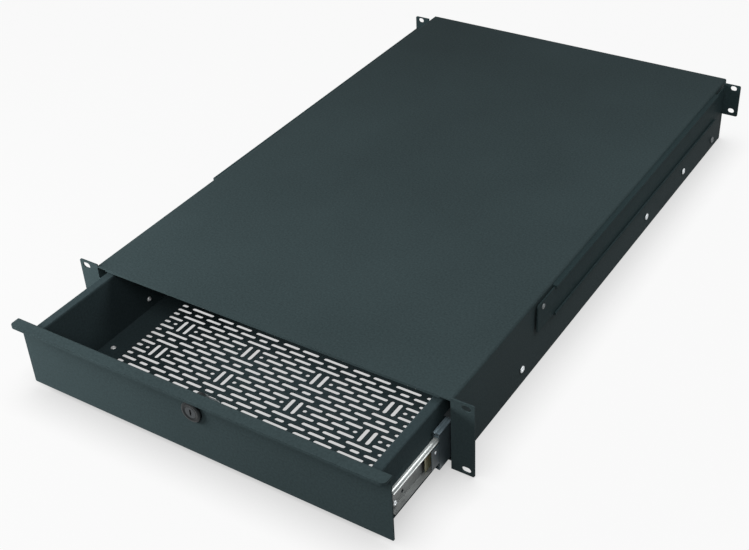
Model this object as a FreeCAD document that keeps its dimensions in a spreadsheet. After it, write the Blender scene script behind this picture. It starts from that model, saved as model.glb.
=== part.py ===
import FreeCAD, Part
import math
import os
from types import SimpleNamespace

import Sketcher
from FreeCAD import Placement, Rotation, Vector

# Two-unit sliding drawer in a steel enclosure for a 19-inch rack.
#
# X runs across the rack, +Y runs to the rear, +Z is up.  The pieces are drawn with
# Y = 0 on the front face of the rack ears and Z = 0 on their lower edge, with the drawer
# shut.  Each sub-part's Placement then lowers it by half the ear height, so that the
# origin is the centre of the four front rack holes, and pulls it out by its share of
# the opening.

DIMENSIONS = [
    # alias, millimetres, meaning
    ("opening", 107.0, "how far the drawer stands open at rest"),
    ("ear_span", 482.6, "width over the rack ears, 19 inches"),
    ("ear_height", 88.1, "height of a two-unit panel"),
    ("hole_span", 465.1, "rack hole columns, centre to centre"),
    ("hole_rise", 76.2, "outer rack holes of two units, centre to centre"),
    ("slot_length", 10.0, "ear slot, end to end"),
    ("slot_width", 6.8, "ear slot width"),
    ("body_width", 435.6, "enclosure over its sides"),
    ("body_depth", 714.0, "enclosure from ears to rear edge"),
    ("body_top", 86.3, "top of the cover"),
    ("wall", 1.5, "enclosure sheet"),
    ("bend", 2.2, "outer bend radius of the enclosure"),
    ("hem_depth", 10.0, "folded hem under the cover's front edge"),
    ("hem_half", 205.0, "half the hem's length"),
    ("rear_panel", 692.0, "rear face of the rear panel"),
    ("rear_flange", 22.0, "length of the rear panel's side flanges"),
    ("rear_screw_y", 681.0, "rear panel screws"),
    ("rear_screw_z", 13.5, "rear panel screws above the ears' lower edge"),
    ("cable_opening_x", 100.0, "cable openings in the rear panel, from the middle"),
    ("cable_opening_z", 46.0, "cable openings above the ears' lower edge"),
    ("cable_opening_long", 100.0, "cable opening, end to end"),
    ("cable_opening_high", 36.0, "cable opening height"),
    ("channel_front", 206.0, "front end of a bracket channel"),
    ("channel_rear", 672.0, "rear end of a bracket channel"),
    ("channel_low", 46.0, "lower face of a bracket channel"),
    ("channel_high", 84.0, "upper face of a bracket channel"),
    ("channel_reach", 5.5, "how far a bracket channel stands off the side"),
    ("arm_front", 168.0, "front end of a rear arm"),
    ("arm_rear", 702.0, "rear face of the rear ears"),
    ("arm_ear_low", 43.6, "lower edge of a rear ear"),
    ("arm_ear_high", 86.8, "upper edge of a rear ear"),
    ("rear_slot_length", 8.0, "rear ear slot, end to end"),
    ("rear_slot_width", 6.4, "rear ear slot width"),
    ("rear_hole_rise", 31.75, "outer rack holes of one unit, centre to centre"),
    ("rear_hole_mid", 66.27, "middle of the rear ear's holes"),
    ("face_width", 441.0, "drawer face"),
    ("face_low", 6.15, "lower edge of the drawer face"),
    ("face_high", 88.0, "top of the pull lip"),
    ("face_gap", 0.5, "gap between the shut face and the ears"),
    ("lip_reach", 12.5, "pull lip in front of the face"),
    ("lip_thick", 3.4, "hemmed thickness of the pull lip"),
    ("lip_width", 444.4, "pull lip"),
    ("lip_corner", 5.0, "corner radius of the pull lip"),
    ("tray_sheet", 1.0, "drawer sheet"),
    ("tray_width", 413.6, "drawer box over its sides"),
    ("tray_inside", 391.4, "clear width between the drawer's inner walls"),
    ("tray_low", 6.4, "underside of the drawer box"),
    ("tray_high", 79.5, "top of the drawer box"),
    ("tray_rear", 658.0, "rear face of the drawer box"),
    ("floor_ledge", 172.0, "inner edge of the ledges under the floor"),
    ("slide_height", 35.2, "centre line of the slides"),
    ("ball_radius", 2.38, "slide ball, 3/16 inch"),
    ("groove_depth", 0.45, "depth of a ball groove"),
    ("inner_half", 13.0, "half height of the drawer member"),
    ("middle_half", 22.5, "half height of the middle member"),
    ("middle_sheet", 1.1, "sheet of the middle member's folded flanges"),
    ("outer_sheet", 0.9, "sheet of the outer member"),
    ("lock_height", 62.0, "lock axis"),
    ("lock_barrel", 9.5, "radius of the lock barrel"),
    ("lock_bezel", 11.8, "radius of the lock's front ring"),
    ("lock_plug", 6.4, "radius of the key plug"),
    ("lock_proud", 3.2, "how far the lock's front ring stands proud"),
]


class Size:
    """A length that keeps the spreadsheet formula it comes from."""

    def __init__(self, value, formula=None):
        self.value = float(value)
        self.formula = formula or repr(float(value))

    def __add__(self, other):
        other = size(other)
        return Size(self.value + other.value, f"({self.formula} + {other.formula})")

    def __sub__(self, other):
        other = size(other)
        return Size(self.value - other.value, f"({self.formula} - {other.formula})")

    def __mul__(self, other):
        other = size(other)
        return Size(self.value * other.value, f"({self.formula} * {other.formula})")

    def __truediv__(self, other):
        other = size(other)
        return Size(self.value / other.value, f"({self.formula} / {other.formula})")

    def __neg__(self):
        return self * -1

    __radd__ = __add__
    __rmul__ = __mul__

    def __rsub__(self, other):
        return size(other) - self


def size(number):
    return number if isinstance(number, Size) else Size(number)


doc = FreeCAD.newDocument("RackDrawer")
sheet = doc.addObject("Spreadsheet::Sheet", "Dims")
for row, (alias, value, meaning) in enumerate(DIMENSIONS, start=1):
    sheet.set(f"A{row}", alias)
    sheet.set(f"B{row}", str(value))
    sheet.setAlias(f"B{row}", alias)
    sheet.set(f"C{row}", meaning)
doc.recompute()
d = SimpleNamespace(**{alias: Size(value, f"Dims.{alias}") for alias, value, _ in DIMENSIONS})

SUBPARTS = []
SIDES = (("left", -1), ("right", 1))

# Each share says how much of the drawer's travel a sub-part makes.
FIXED = 0.0
OUTER_CAGE = 0.25
MIDDLE = 0.5
INNER_CAGE = 0.75
DRAWER = 1.0

# plane: origin plane, sign of the offset along its normal, whether a pad has to be
# reversed to grow along the positive axis
PLANES = {
    "front": ("XZ_Plane", -1, True),
    "side": ("YZ_Plane", 1, False),
    "top": ("XY_Plane", 1, False),
}


def place(item, share, x=0, y=0, z=0):
    """Lower a sub-part to the rack hole centre and pull it out with the drawer."""
    base = {
        "x": size(x),
        "y": size(y) - d.opening * share,
        "z": size(z) - d.ear_height / 2,
    }
    for axis, length in base.items():
        item.setExpression(f"Placement.Base.{axis}", length.formula)
    SUBPARTS.append(item)


def new_body(label, share, **offset):
    body = doc.addObject("PartDesign::Body", label)
    body.Label = label
    body.AllowCompound = True
    place(body, share, **offset)
    return body


def polygon(*points):
    return ("polygon", [(size(x), size(y)) for x, y in points])


def rectangle(x0, y0, x1, y1):
    return polygon((x0, y0), (x1, y0), (x1, y1), (x0, y1))


def circle(x, y, radius):
    return ("circle", (size(x), size(y), size(radius)))


def regular_polygon(x, y, radius, flats):
    """Equal flats about a centre, with a flat at the top; radius reaches to the corners."""
    corners = []
    for number in range(flats):
        angle = math.pi * (0.5 + (2 * number + 1) / flats)
        corners.append((x + size(radius) * math.cos(angle), y + size(radius) * math.sin(angle)))
    return polygon(*corners)


def small_round(x, y, radius):
    """A small hole or shank, drawn with eight flats so that the many of them stay light."""
    return regular_polygon(x, y, radius, 8)


def slot(x, y, length, width):
    """A round-ended slot along the sketch's first axis."""
    reach = (size(length) - width) / 2
    return ("slot", (size(x) - reach, size(x) + reach, size(y), size(width) / 2))


def fix_point(sketch, geometry, point, x, y):
    for kind, length in (("DistanceX", x), ("DistanceY", y)):
        index = sketch.addConstraint(
            Sketcher.Constraint(kind, -1, 1, geometry, point, length.value)
        )
        sketch.setExpression(f"Constraints[{index}]", length.formula)


def fix_radius(sketch, geometry, radius):
    index = sketch.addConstraint(Sketcher.Constraint("Radius", geometry, radius.value))
    sketch.setExpression(f"Constraints[{index}]", radius.formula)


def draw_polygon(sketch, points):
    ends = points[1:] + points[:1]
    lines = [
        sketch.addGeometry(
            Part.LineSegment(Vector(a[0].value, a[1].value, 0), Vector(b[0].value, b[1].value, 0))
        )
        for a, b in zip(points, ends)
    ]
    for line, following in zip(lines, lines[1:] + lines[:1]):
        sketch.addConstraint(Sketcher.Constraint("Coincident", line, 2, following, 1))
    for line, (x, y) in zip(lines, points):
        fix_point(sketch, line, 1, x, y)


def draw_circle(sketch, numbers):
    x, y, radius = numbers
    ring = sketch.addGeometry(Part.Circle(Vector(x.value, y.value, 0), Vector(0, 0, 1), radius.value))
    fix_point(sketch, ring, 3, x, y)
    fix_radius(sketch, ring, radius)


def draw_slot(sketch, numbers):
    x0, x1, y, radius = numbers
    low, high = y.value - radius.value, y.value + radius.value
    quarter = math.pi / 2
    left = sketch.addGeometry(
        Part.ArcOfCircle(
            Part.Circle(Vector(x0.value, y.value, 0), Vector(0, 0, 1), radius.value),
            quarter,
            3 * quarter,
        )
    )
    right = sketch.addGeometry(
        Part.ArcOfCircle(
            Part.Circle(Vector(x1.value, y.value, 0), Vector(0, 0, 1), radius.value),
            -quarter,
            quarter,
        )
    )
    bottom = sketch.addGeometry(
        Part.LineSegment(Vector(x0.value, low, 0), Vector(x1.value, low, 0))
    )
    top = sketch.addGeometry(
        Part.LineSegment(Vector(x1.value, high, 0), Vector(x0.value, high, 0))
    )
    for first, end, second, start in (
        (left, 2, bottom, 1),
        (bottom, 2, right, 1),
        (right, 2, top, 1),
        (top, 2, left, 1),
    ):
        sketch.addConstraint(Sketcher.Constraint("Tangent", first, end, second, start))
    fix_point(sketch, left, 3, x0, y)
    fix_radius(sketch, left, radius)
    sketch.addConstraint(Sketcher.Constraint("DistanceX", -1, 1, right, 3, x1.value))
    sketch.setExpression(f"Constraints[{sketch.ConstraintCount - 1}]", x1.formula)


DRAW = {"polygon": draw_polygon, "circle": draw_circle, "slot": draw_slot}


def new_sketch(body, name, plane, start, outlines):
    role, sign, _ = PLANES[plane]
    sketch = body.newObject("Sketcher::SketchObject", name)
    support = next(item for item in body.Origin.OriginFeatures if item.Role == role)
    sketch.AttachmentSupport = [(support, "")]
    sketch.MapMode = "FlatFace"
    sketch.setExpression("AttachmentOffset.Base.z", (size(start) * sign).formula)
    for kind, numbers in outlines:
        DRAW[kind](sketch, numbers)
    return sketch


def pad(body, name, plane, start, length, *outlines):
    """Sheet or bar drawn in a plane and grown along the positive axis."""
    sketch = new_sketch(body, f"{body.Name}_{name}_sketch", plane, start, outlines)
    feature = body.newObject("PartDesign::Pad", f"{body.Name}_{name}")
    feature.Profile = sketch
    feature.Reversed = PLANES[plane][2]
    feature.setExpression("Length", size(length).formula)
    body.Tip = feature
    doc.recompute()
    return feature


def cut(body, name, plane, start, length, *outlines):
    """Holes drawn in a plane and cut along the positive axis."""
    before = body.Shape.Volume
    sketch = new_sketch(body, f"{body.Name}_{name}_sketch", plane, start, outlines)
    feature = body.newObject("PartDesign::Pocket", f"{body.Name}_{name}")
    feature.Profile = sketch
    feature.Reversed = not PLANES[plane][2]
    feature.setExpression("Length", size(length).formula)
    body.Tip = feature
    doc.recompute()
    if not body.Shape.Volume < before:
        raise RuntimeError(f"{feature.Name} cuts nothing")
    return feature


def turn(body, name, *points):
    """A round piece about the body's own Y axis, drawn as (y, radius)."""
    sketch = new_sketch(body, f"{body.Name}_{name}_sketch", "side", 0, [polygon(*points)])
    feature = body.newObject("PartDesign::Revolution", f"{body.Name}_{name}")
    feature.Profile = sketch
    feature.ReferenceAxis = (sketch, ["H_Axis"])
    feature.Angle = 360
    body.Tip = feature
    doc.recompute()
    return feature


def round_edges(body, name, radius, wanted):
    """Fillet the edges of the tip for which wanted(edge) holds."""
    base = body.Tip
    names = [f"Edge{i}" for i, edge in enumerate(base.Shape.Edges, start=1) if wanted(edge)]
    if not names:
        raise RuntimeError(f"{body.Name}_{name} finds no edge")
    feature = body.newObject("PartDesign::Fillet", f"{body.Name}_{name}")
    feature.Base = (base, names)
    feature.setExpression("Radius", size(radius).formula)
    body.Tip = feature
    doc.recompute()
    return feature


def runs_along(axis, *places):
    """Pick straight edges along an axis through given points of the other two axes."""
    across = [i for i in (0, 1, 2) if i != axis]
    near = 0.01

    def wanted(edge):
        if len(edge.Vertexes) != 2:
            return False
        first, last = (vertex.Point for vertex in edge.Vertexes)
        if abs(first[axis] - last[axis]) < near:
            return False
        return any(
            all(
                abs(point[i] - size(number).value) < near
                for point in (first, last)
                for i, number in zip(across, place_)
            )
            for place_ in places
        )

    return wanted


# --- Enclosure -----------------------------------------------------------------------

half_body = d.body_width / 2
inside = half_body - d.wall
half_ear = d.ear_span / 2
middle_height = d.ear_height / 2
under_cover = d.body_top - d.wall

# The cover and both sides are one folded sheet, bent outwards at the front for the ears.
shell = new_body("enclosure_shell", FIXED)
pad(
    shell, "wrap", "front", 0, d.body_depth,
    polygon(
        (-half_body, 0), (-inside, 0), (-inside, under_cover), (inside, under_cover),
        (inside, 0), (half_body, 0), (half_body, d.body_top), (-half_body, d.body_top),
    ),
)
round_edges(
    shell, "bends", d.bend,
    runs_along(1, (half_body, d.body_top), (-half_body, d.body_top)),
)
for side, sign in SIDES:
    pad(
        shell, f"{side}_ear", "front", 0, d.wall,
        rectangle(sign * inside, 0, sign * half_ear, d.ear_height),
    )
round_edges(
    shell, "ear_corners", 2.0,
    runs_along(
        1, (half_ear, 0), (half_ear, d.ear_height), (-half_ear, 0), (-half_ear, d.ear_height)
    ),
)
cut(
    shell, "ear_slots", "front", -1, d.wall + 2,
    *[
        slot(
            sign * d.hole_span / 2, middle_height + row * d.hole_rise / 2,
            d.slot_length, d.slot_width,
        )
        for _, sign in SIDES
        for row in (-1, 1)
    ],
)
pad(
    shell, "front_hem", "front", 0, d.hem_depth,
    rectangle(-d.hem_half, under_cover - d.wall, d.hem_half, under_cover),
)

# The slides' outer members and the rear panel are screwed to the sides.
screw_radius = Size(2.0)
slide_screw_z = Size(20.0)
slide_screw_y = [Size(140.5), Size(461.5), Size(579.0)]
side_screws = [(y, slide_screw_z) for y in slide_screw_y] + [(d.rear_screw_y, d.rear_screw_z)]
arm_screw = (Size(179.0), Size(75.5))
cut(
    shell, "side_holes", "side", -half_body - 1, d.body_width + 2,
    *[small_round(y, z, screw_radius + 0.05) for y, z in side_screws],
)

panel_sheet = Size(1.2)
rear = new_body("rear_panel", FIXED)
panel_front = d.rear_panel - d.rear_flange
pad(
    rear, "pan", "top", 0.5, under_cover - 1.5,
    polygon(
        (-inside, panel_front), (-inside, d.rear_panel), (inside, d.rear_panel),
        (inside, panel_front), (inside - panel_sheet, panel_front),
        (inside - panel_sheet, d.rear_panel - panel_sheet),
        (panel_sheet - inside, d.rear_panel - panel_sheet), (panel_sheet - inside, panel_front),
    ),
)
round_edges(
    rear, "bends", 2.0,
    runs_along(2, (inside, d.rear_panel), (-inside, d.rear_panel)),
)
cut(
    rear, "cable_openings", "front", d.rear_panel - 5, 6,
    *[
        slot(sign * d.cable_opening_x, d.cable_opening_z, d.cable_opening_long, d.cable_opening_high)
        for _, sign in SIDES
    ],
)
cut(
    rear, "screw_holes", "side", -half_body, d.body_width,
    small_round(d.rear_screw_y, d.rear_screw_z, screw_radius + 0.05),
)

# Each rear bracket is an outward-facing channel on the side, in which a flat arm with
# a one-unit ear slides to suit the depth of the rack.
channel_out = half_body + d.channel_reach
arm_in = half_body + d.wall + 0.3
arm_out = arm_in + d.wall
flange_high = d.channel_high - d.wall
flange_low = d.channel_low + d.wall
lip = Size(2.0)
arm_clear = Size(0.5)
for side, sign in SIDES:
    rail = new_body(f"{side}_bracket_channel", FIXED)
    pad(
        rail, "section", "front", d.channel_front, d.channel_rear - d.channel_front,
        polygon(
            *[
                (sign * x, z)
                for x, z in (
                    (half_body, d.channel_low), (channel_out, d.channel_low),
                    (channel_out, flange_low + lip), (channel_out - d.wall, flange_low + lip),
                    (channel_out - d.wall, flange_low), (half_body + d.wall, flange_low),
                    (half_body + d.wall, flange_high), (channel_out - d.wall, flange_high),
                    (channel_out - d.wall, flange_high - lip), (channel_out, flange_high - lip),
                    (channel_out, d.channel_high), (half_body, d.channel_high),
                )
            ]
        ),
    )
    round_edges(
        rail, "bends", 1.2,
        runs_along(
            1, (sign * channel_out, d.channel_low), (sign * channel_out, d.channel_high)
        ),
    )

    arm = new_body(f"{side}_rear_arm", FIXED)
    pad(
        arm, "bar", "front", d.arm_front, d.arm_rear - d.arm_front,
        rectangle(sign * arm_in, flange_low + arm_clear, sign * arm_out, flange_high - arm_clear),
    )
    pad(
        arm, "ear", "front", d.arm_rear - d.wall, d.wall,
        rectangle(sign * arm_in, d.arm_ear_low, sign * half_ear, d.arm_ear_high),
    )
    round_edges(
        arm, "corners", 2.0,
        runs_along(1, (sign * half_ear, d.arm_ear_low), (sign * half_ear, d.arm_ear_high)),
    )
    round_edges(
        arm, "front_corners", 3.0,
        runs_along(0, (d.arm_front, flange_low + arm_clear), (d.arm_front, flange_high - arm_clear)),
    )
    cut(
        arm, "slots", "front", d.arm_rear - 5, 6,
        *[
            slot(
                sign * d.hole_span / 2, d.rear_hole_mid + row * d.rear_hole_rise / 2,
                d.rear_slot_length, d.rear_slot_width,
            )
            for row in (-1, 1)
        ],
    )
    low_x = arm_in - 1 if sign > 0 else -arm_out - 1
    cut(
        arm, "screw_hole", "side", low_x, d.wall + 2,
        small_round(arm_screw[0], arm_screw[1], screw_radius + 0.05),
    )


def side_fasteners(label, share, seat, head_radius, head_high, tip, places, sides=SIDES):
    """Screws or rivets along X: seat is under the head, tip the end of the shank."""
    group = new_body(label, share)
    for side, sign in sides:
        near, far = (seat, seat + head_high) if sign > 0 else (-seat - head_high, -seat)
        pad(
            group, f"{side}_heads", "side", near, far - near,
            *[small_round(y, z, head_radius) for y, z in places],
        )
        near, far = (tip, seat) if sign > 0 else (-seat, -tip)
        pad(
            group, f"{side}_shanks", "side", near, far - near,
            *[small_round(y, z, screw_radius) for y, z in places],
        )
    return group


pan_radius, pan_high = Size(4.2), Size(2.4)
side_fasteners(
    "slide_mounting_screws", FIXED, half_body, pan_radius, pan_high,
    inside - d.outer_sheet, [(y, slide_screw_z) for y in slide_screw_y],
)
side_fasteners(
    "rear_panel_screws", FIXED, half_body, pan_radius, pan_high,
    inside - panel_sheet, [(d.rear_screw_y, d.rear_screw_z)],
)
for side in SIDES:
    side_fasteners(
        f"{side[0]}_arm_screw", FIXED, arm_out, Size(3.2), Size(1.4), arm_in, [arm_screw], [side]
    )

# The strike is an angle under the cover.  The lock's cam turns up behind it.
strike_front, strike_rear = Size(13.0), Size(31.0)
strike_low, strike_wide = Size(76.5), Size(30.0)
strike = new_body("lock_strike", FIXED)
pad(
    strike, "angle", "side", -strike_wide / 2, strike_wide,
    polygon(
        (strike_front, strike_low), (strike_front + d.wall, strike_low),
        (strike_front + d.wall, under_cover - d.wall), (strike_rear, under_cover - d.wall),
        (strike_rear, under_cover), (strike_front, under_cover),
    ),
)

# --- Slides --------------------------------------------------------------------------

# Across the gap between drawer and enclosure, 0 is on the drawer's side wall.  Heights are
# above the slide's centre line.  The flanges and the ball rows nest outwards.
half_tray = d.tray_width / 2
side_gap = inside - half_tray
inner_sheet = Size(1.0)
inner_tip = Size(6.9)
outer_tip = Size(1.2)
middle_web = Size(7.2)
middle_back = Size(8.1)
ball_out = Size(4.0)
groove_radius = d.ball_radius + 0.12
bend_radius = 0.8

inner_row = d.inner_half - d.groove_depth + d.ball_radius
middle_inside = inner_row + d.ball_radius - d.groove_depth
outer_row = d.middle_half - d.groove_depth + d.ball_radius
outer_inside = outer_row + d.ball_radius - d.groove_depth
outer_half = outer_inside + d.outer_sheet

inner_run = (Size(12), Size(652))
middle_run = (Size(35), Size(622))
outer_run = (Size(2), Size(652))
inner_screws = [(Size(y), Size(27.0)) for y in (20.8, 330.0, 636.0)]


def slide_member(label, share, sign, run, back, web, tip, halves, rows):
    """A rolled C section from back to web to tip, with a groove for each row of balls."""
    body = new_body(label, share, z=d.slide_height)
    inner, outer = halves
    outline = [
        (back, -outer), (tip, -outer), (tip, -inner), (web, -inner),
        (web, inner), (tip, inner), (tip, outer), (back, outer),
    ]
    start, end = run
    pad(
        body, "section", "front", start, end - start,
        polygon(*[(sign * (half_tray + out), height) for out, height in outline]),
    )
    round_edges(
        body, "bends", bend_radius,
        runs_along(1, *[(sign * (half_tray + back), flip * outer) for flip in (-1, 1)]),
    )
    cut(
        body, "grooves", "front", start - 1, end - start + 2,
        *[
            circle(sign * (half_tray + ball_out), flip * row, groove_radius)
            for row in rows
            for flip in (-1, 1)
        ],
    )
    return body


def cut_across(body, name, near, far, sign, *outlines):
    """Holes through a wall that lies between two distances from the drawer's side."""
    low = half_tray + near if sign > 0 else -half_tray - far
    cut(body, name, "side", low - 0.5, far - near + 1, *outlines)


for side, sign in SIDES:
    outer = slide_member(
        f"{side}_slide_outer", FIXED, sign, outer_run, side_gap, side_gap - d.outer_sheet,
        outer_tip, (outer_inside, outer_half), [outer_row],
    )
    cut_across(
        outer, "screw_holes", side_gap - d.outer_sheet, side_gap, sign,
        *[
            small_round(y, slide_screw_z - d.slide_height, screw_radius + 0.05)
            for y in slide_screw_y
        ],
    )

    # The middle member's flanges are folded back on themselves, with a race on each face.
    middle = slide_member(
        f"{side}_slide_middle", MIDDLE, sign, middle_run, middle_back, middle_web,
        outer_tip, (middle_inside, d.middle_half), [inner_row, outer_row],
    )
    fold = (half_tray + outer_tip + d.middle_sheet, half_tray + middle_web)
    cut(
        middle, "folds", "front", middle_run[0] - 1, middle_run[1] - middle_run[0] + 2,
        *[
            rectangle(
                sign * fold[0], flip * (middle_inside + d.middle_sheet),
                sign * fold[1], flip * (d.middle_half - d.middle_sheet),
            )
            for flip in (-1, 1)
        ],
    )

    inner = slide_member(
        f"{side}_slide_inner", DRAWER, sign, inner_run, Size(0), inner_sheet, inner_tip,
        (d.inner_half - inner_sheet, d.inner_half), [inner_row],
    )
    round_edges(
        inner, "rims", bend_radius,
        runs_along(
            1, *[(sign * (half_tray + inner_tip), flip * d.inner_half) for flip in (-1, 1)]
        ),
    )
    cut_across(
        inner, "screw_holes", Size(0), inner_sheet, sign,
        *[small_round(y, z - d.slide_height, screw_radius + 0.05) for y, z in inner_screws],
        small_round(34, -5, 2.2),
    )

    # A moulded nose on the front of the middle member holds a bumper for the drawer.
    nose = new_body(f"{side}_slide_guide", MIDDLE, z=d.slide_height)
    nose_long, nose_half = Size(14), Size(14.5)
    bumper_long, bumper_low, bumper_high, bumper_in = Size(4), Size(-2), Size(5), Size(3.2)
    pad(
        nose, "plate", "front", middle_run[0] - nose_long, nose_long,
        rectangle(
            sign * (half_tray + middle_web), -nose_half,
            sign * (half_tray + middle_back), nose_half,
        ),
    )
    pad(
        nose, "bumper", "front", middle_run[0] - bumper_long, bumper_long,
        rectangle(
            sign * (half_tray + bumper_in), bumper_low,
            sign * (half_tray + middle_web), bumper_high,
        ),
    )


def faceted_ball(radius, centre):
    """A ball of 24 flats round the Y axis and two end facets, light enough to repeat."""
    rings = []
    for latitude in (-67.5, -22.5, 22.5, 67.5):
        reach = radius * math.cos(math.radians(latitude))
        along = radius * math.sin(math.radians(latitude))
        turns = [math.radians(22.5 + 45 * number) for number in range(8)]
        rings.append(
            [centre + Vector(reach * math.cos(a), along, reach * math.sin(a)) for a in turns]
        )
    outlines = [rings[0], rings[-1]]
    for near, far in zip(rings, rings[1:]):
        for number in range(8):
            after = (number + 1) % 8
            outlines.append([near[number], near[after], far[after], far[number]])
    faces = [Part.Face(Part.makePolygon(corners + corners[:1])) for corners in outlines]
    shell = Part.makeShell(faces)
    shell.sewShape()
    ball = Part.makeSolid(shell)
    if ball.Volume < 0:
        ball.reverse()
    return ball


# Steel balls run in strip retainers, one above and one below in each pair of grooves.
strip_half = Size(0.4)
strip_in = Size(0.6)
strip_out = Size(7.0)
cage_long = 290.0
end_margin = 10.0
balls_per_row = 3
ball_pitch = (cage_long - 2 * end_margin) / (balls_per_row - 1)
CAGES = (("inner", INNER_CAGE, inner_row, 200.0), ("outer", OUTER_CAGE, outer_row, 168.0))
for side, sign in SIDES:
    for name, share, row, start in CAGES:
        cage = new_body(f"{side}_{name}_ball_cage", share, z=d.slide_height)
        ball_y = [start + end_margin + ball_pitch * number for number in range(balls_per_row)]
        ball_x = sign * (half_tray + ball_out)
        for flip, word in ((-1, "lower"), (1, "upper")):
            pad(
                cage, f"{word}_strip", "top", flip * row - strip_half, strip_half * 2,
                rectangle(
                    sign * (half_tray + strip_in), start,
                    sign * (half_tray + strip_out), start + cage_long,
                ),
            )
        cut(
            cage, "pockets", "top", -row - 2, row * 2 + 4,
            *[small_round(ball_x, y, d.ball_radius + 0.25) for y in ball_y],
        )
        balls = doc.addObject("Part::Feature", f"{side}_{name}_balls")
        balls.Label = f"{side}_{name}_balls"
        balls.Shape = Part.makeCompound(
            [
                faceted_ball(
                    sheet.get("ball_radius"), Vector(ball_x.value, y, flip * row.value)
                )
                for flip in (-1, 1)
                for y in ball_y
            ]
        )
        place(balls, share, z=d.slide_height)

# --- Drawer --------------------------------------------------------------------------

face_back = -d.face_gap
face_front = face_back - d.wall
half_face = d.face_width / 2
lip_low = d.face_high - d.lip_thick

# The face is one sheet whose top is folded forwards into a hemmed pull lip.
face = new_body("drawer_face", DRAWER)
pad(
    face, "plate", "front", face_front, d.wall,
    rectangle(-half_face, d.face_low, half_face, d.face_high),
)
pad(
    face, "lip", "top", lip_low, d.lip_thick,
    rectangle(
        -d.lip_width / 2, face_front - d.lip_reach, d.lip_width / 2, face_back
    ),
)
lip_front = face_front - d.lip_reach
round_edges(
    face, "lip_corners", d.lip_corner,
    runs_along(2, (d.lip_width / 2, lip_front), (-d.lip_width / 2, lip_front)),
)
round_edges(
    face, "lower_corners", 1.5,
    runs_along(1, (half_face, d.face_low), (-half_face, d.face_low)),
)
round_edges(face, "lip_root", 1.5, runs_along(0, (face_front, lip_low)))
round_edges(face, "lip_back", 2.0, runs_along(0, (face_back, d.face_high)))
cut(
    face, "lock_hole", "front", face_front - 1, d.wall + 2,
    circle(0, d.lock_height, d.lock_barrel + 0.1),
)

# The drawer box is a front, a back and two hollow folded sides around a vented floor.
front = new_body("tray_front", DRAWER)
tray_front_rear = face_back + d.tray_sheet
pad(
    front, "plate", "front", face_back, d.tray_sheet,
    rectangle(-half_tray, d.tray_low, half_tray, d.tray_high),
)
pad(
    front, "foot", "front", tray_front_rear, 14,
    rectangle(-d.floor_ledge + 1, d.tray_low, d.floor_ledge - 1, d.tray_low + d.tray_sheet),
)
cut(
    front, "lock_hole", "front", face_back - 1, d.tray_sheet + 2,
    circle(0, d.lock_height, d.lock_barrel + 0.1),
)

half_inside = d.tray_inside / 2
rivet_radius = Size(1.6)
rivet_head = Size(3.1)
floor_rivets_at = [(x, 77.7 + 140 * i) for x in (-184.0, 184.0) for i in range(5)]
wall_rivets_at = [(Size(y), Size(20.8)) for y in (152.2, 352.2, 552.2)]
floor_low = d.tray_low + d.tray_sheet
floor_top = floor_low + d.tray_sheet
tray_back_front = d.tray_rear - d.tray_sheet
for side, sign in SIDES:
    wall = new_body(f"{side}_tray_side", DRAWER)
    pad(
        wall, "section", "front", tray_front_rear, tray_back_front - tray_front_rear,
        polygon(
            (sign * d.floor_ledge, d.tray_low), (sign * half_tray, d.tray_low),
            (sign * half_tray, d.tray_high), (sign * half_inside, d.tray_high),
            (sign * half_inside, floor_low), (sign * d.floor_ledge, floor_low),
        ),
        polygon(
            (sign * (half_inside + d.tray_sheet), floor_low),
            (sign * (half_tray - d.tray_sheet), floor_low),
            (sign * (half_tray - d.tray_sheet), d.tray_high - d.tray_sheet),
            (sign * (half_inside + d.tray_sheet), d.tray_high - d.tray_sheet),
        ),
    )
    round_edges(
        wall, "bends", 1.6,
        runs_along(
            1, (sign * half_tray, d.tray_high), (sign * half_inside, d.tray_high),
            (sign * half_tray, d.tray_low),
        ),
    )
    cut(
        wall, "floor_holes", "top", d.tray_low - 1, d.tray_sheet + 2,
        *[small_round(x, y, rivet_radius + 0.05) for x, y in floor_rivets_at if x * sign > 0],
    )
    for name, centre, places, radius in (
        ("slide_holes", half_tray, inner_screws, screw_radius + 0.05),
        ("rivet_holes", half_inside, wall_rivets_at, rivet_radius + 0.05),
    ):
        cut(
            wall, name, "side", sign * centre - d.tray_sheet * 1.5, d.tray_sheet * 3,
            *[small_round(y, z, radius) for y, z in places],
        )

back = new_body("tray_back", DRAWER)
pad(
    back, "plate", "front", tray_back_front, d.tray_sheet,
    rectangle(-half_tray, d.tray_low, half_tray, d.tray_high),
)
pad(
    back, "foot", "front", tray_back_front - 14, 14,
    rectangle(-d.floor_ledge + 1, d.tray_low, d.floor_ledge - 1, d.tray_low + d.tray_sheet),
)
round_edges(
    back, "corners", 4.0,
    runs_along(1, (half_tray, d.tray_high), (-half_tray, d.tray_high)),
)

# The vented floor is a punched sheet: rows of staggered slots along X with pairs of
# slots across them.  The rows repeat every six, the columns every pair of cross slots,
# and the slots are cut short at the ends of the field.
FIELD_LEFT, FIELD_RIGHT = -167.5, 167.5
PAIR_COLUMNS = [-226.8, -137.9, -49.0, 39.9, 128.8, 217.7]
ROW_ORDER = "ADABCB"
ROWS = {
    "A": ((-15, 15), (21.5, 42.5), (46.5, 67.5)),
    "B": ((10.6, 30.6), (34.5, 54.5), (58.4, 78.4)),
    "C": ((12, 17), (21.5, 42.5), (46.5, 67.5), (72, 77)),
    "D": ((-5.5, 5.5), (10.6, 30.6), (34.5, 54.5), (58.4, 78.4)),
}
SLOT_WIDE, CROSS_WIDE, CROSS_LONG, CROSS_AT = 4.0, 4.5, 20.0, 4.8
ROW_PITCH, FIRST_ROW, ROW_COUNT = 7.71, 66.1, 9
SHORTEST_SLOT = 2.5


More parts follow.
